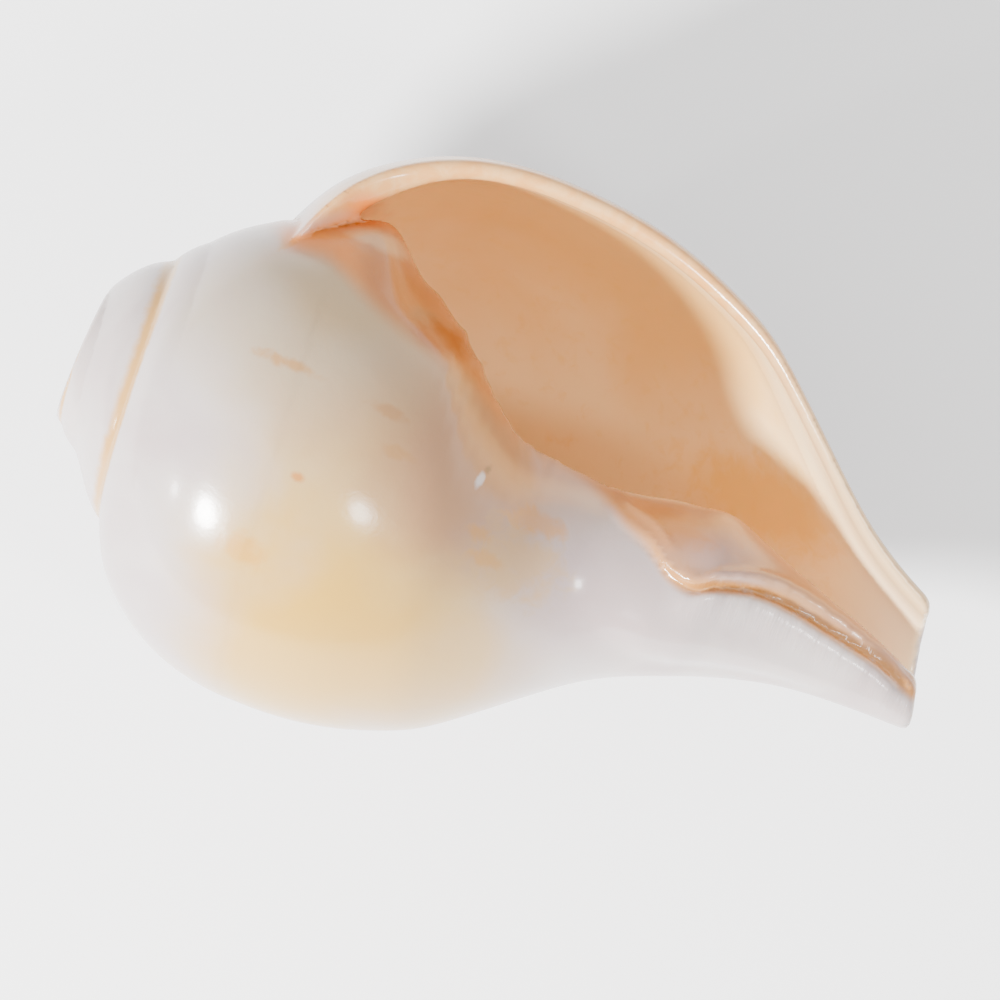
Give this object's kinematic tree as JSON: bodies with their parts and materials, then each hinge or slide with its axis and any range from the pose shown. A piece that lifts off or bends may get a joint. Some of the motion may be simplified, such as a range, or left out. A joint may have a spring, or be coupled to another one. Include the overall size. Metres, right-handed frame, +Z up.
{
  "type": "conch shell",
  "caption": "Pear-shaped spiral sea shell with a wide flared mouth, a tapering canal and a ground apex with a blowing hole, lying on its back.",
  "frame": {"origin": "on the surface the shell rests on, under the centre of its bounding box", "axes": "+Z up with the shell lying on its back and its mouth up; +X towards the canal's tip, along the longest extent; the coil axis runs 23 degrees clockwise of +X in plan and dips 9.5 degrees to the canal"},
  "size_m": [0.126, 0.0832, 0.0788],
  "materials": {
    "shell": "polished"
  },
  "bodies": {
    "root": {"shell": "shell"}
  },
  "joints": []
}
